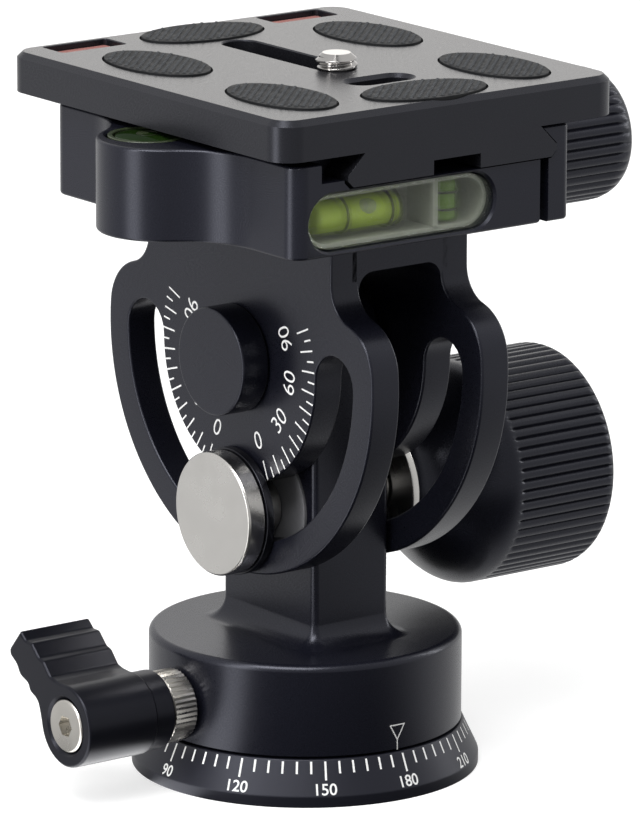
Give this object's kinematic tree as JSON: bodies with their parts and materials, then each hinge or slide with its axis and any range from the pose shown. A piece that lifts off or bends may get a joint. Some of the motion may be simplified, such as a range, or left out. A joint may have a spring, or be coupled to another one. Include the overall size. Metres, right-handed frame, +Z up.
{
  "type": "monopod tilt head",
  "caption": "Monopod tilt head: panning base with lock lever, slotted tilting yoke with clamp knob, dovetail clamp with spirit levels and a quick-release camera plate.",
  "frame": {"origin": "centre of the mounting thread at the base's underside, on the pan axis", "axes": "+Z up along the pan axis, +X towards the end with the tube levels, +Y towards the tilt knob; the tilt axis runs along Y"},
  "size_m": [0.07, 0.0984, 0.1119],
  "materials": {
    "satin_black": "satin black anodised",
    "plate_black": "brushed black anodised",
    "steel": "turned bright steel",
    "brass": "turned",
    "washer_polymer": "matt",
    "rubber": "textured",
    "red_insert": "matt",
    "level_fluid": "clear yellow-green",
    "clear_cover": "clear"
  },
  "bodies": {
    "base": {"scale_ring": "satin_black", "pan_washer": "washer_polymer", "pan_spindle": "steel", "thread_bushing": "brass"},
    "pan_head": {"pan_housing": "satin_black", "retaining_screw_left": "steel", "retaining_screw_right": "steel", "pivot_bush": "brass", "tilt_bolt": "steel", "bolt_washer": "satin_black", "friction_washer_front": "washer_polymer", "friction_washer_rear": "washer_polymer", "slot_sleeve_front": "steel", "slot_sleeve_rear": "steel"},
    "pan_lock": {"lock_shoe": "brass"},
    "pan_lever": {"pan_lock_lever": "satin_black", "lever_screw": "steel", "lock_stud": "steel"},
    "knob_carriage": {"knob_washer": "steel"},
    "tilt_knob": {"tilt_knob": "satin_black", "knob_insert": "steel", "knob_end_cap": "satin_black"},
    "tilt_head": {"yoke": "satin_black", "clamp_body": "satin_black", "yoke_screw_left": "steel", "yoke_screw_right": "steel", "pivot_axle": "steel", "pivot_cap_front": "satin_black", "pivot_cap_rear": "satin_black", "vial_holder": "clear_cover", "vial_window": "clear_cover", "long_vial": "level_fluid", "short_vial": "level_fluid", "bullseye_cup": "clear_cover", "bullseye_vial": "level_fluid", "jaw_spring": "steel", "guide_pin_left": "steel", "guide_pin_right": "steel"},
    "clamp_jaw": {"clamp_jaw": "satin_black", "thrust_washer": "steel"},
    "clamp_knob": {"clamp_knob": "satin_black", "clamp_screw": "steel", "clamp_knob_cap": "satin_black"},
    "camera_plate": {"camera_plate": "plate_black", "grip_pad_1": "rubber", "grip_pad_2": "rubber", "grip_pad_3": "rubber", "grip_pad_4": "rubber", "grip_pad_5": "rubber", "grip_pad_6": "rubber", "end_insert_front": "red_insert", "end_insert_rear": "red_insert"},
    "screw_carrier": {"screw_retainer": "steel"},
    "camera_screw": {"camera_screw": "steel"}
  },
  "joints": [
    {"name": "pan", "type": "hinge", "parent": "base", "child": "pan_head", "pos_m": [0, 0, 0.01292], "axis": [0, 0, 1], "continuous": true},
    {"name": "pan_lock_turn", "type": "hinge", "parent": "pan_head", "child": "pan_lever", "pos_m": [0, -0.02907, 0.01292], "axis": [0, -1, 0], "range_deg": [-30, 70]},
    {"name": "pan_lock_press", "type": "slide", "parent": "pan_head", "child": "pan_lock", "axis": [0, 1, 0], "range_m": [-0.0003, 0.00015]},
    {"name": "knob_travel", "type": "slide", "parent": "pan_head", "child": "knob_carriage", "axis": [0, 1, 0], "range_m": [0, 0.0015]},
    {"name": "tilt_lock_turn", "type": "hinge", "parent": "knob_carriage", "child": "tilt_knob", "pos_m": [0, 0.01486, 0.04166], "axis": [0, 1, 0], "range_deg": [0, 541]},
    {"name": "tilt", "type": "hinge", "parent": "pan_head", "child": "tilt_head", "pos_m": [0, 0, 0.06551], "axis": [0, 1, 0], "range_deg": [-90, 90]},
    {"name": "jaw_travel", "type": "slide", "parent": "tilt_head", "child": "clamp_jaw", "axis": [0, 1, 0], "range_m": [0, 0.003]},
    {"name": "clamp_turn", "type": "hinge", "parent": "clamp_jaw", "child": "clamp_knob", "pos_m": [0.004, 0.0324, 0.0931], "axis": [0, 1, 0], "range_deg": [0, 1081]},
    {"name": "plate_travel", "type": "slide", "parent": "tilt_head", "child": "camera_plate", "axis": [1, 0, 0], "range_m": [-0.025, 0.025]},
    {"name": "screw_travel", "type": "slide", "parent": "camera_plate", "child": "screw_carrier", "axis": [1, 0, 0], "range_m": [-0.0235, 0]},
    {"name": "camera_screw_turn", "type": "hinge", "parent": "screw_carrier", "child": "camera_screw", "pos_m": [0.0063, 0.00078, 0.10946], "axis": [0, 0, 1], "continuous": true}
  ],
  "couplings": [
    {"joint": "pan_lock_press", "follows": "pan_lock_turn", "m_per_rad": -0.00019894},
    {"joint": "tilt_lock_turn", "follows": "knob_travel", "rad_per_m": 6283.2},
    {"joint": "clamp_turn", "follows": "jaw_travel", "rad_per_m": 6283.2}
  ]
}
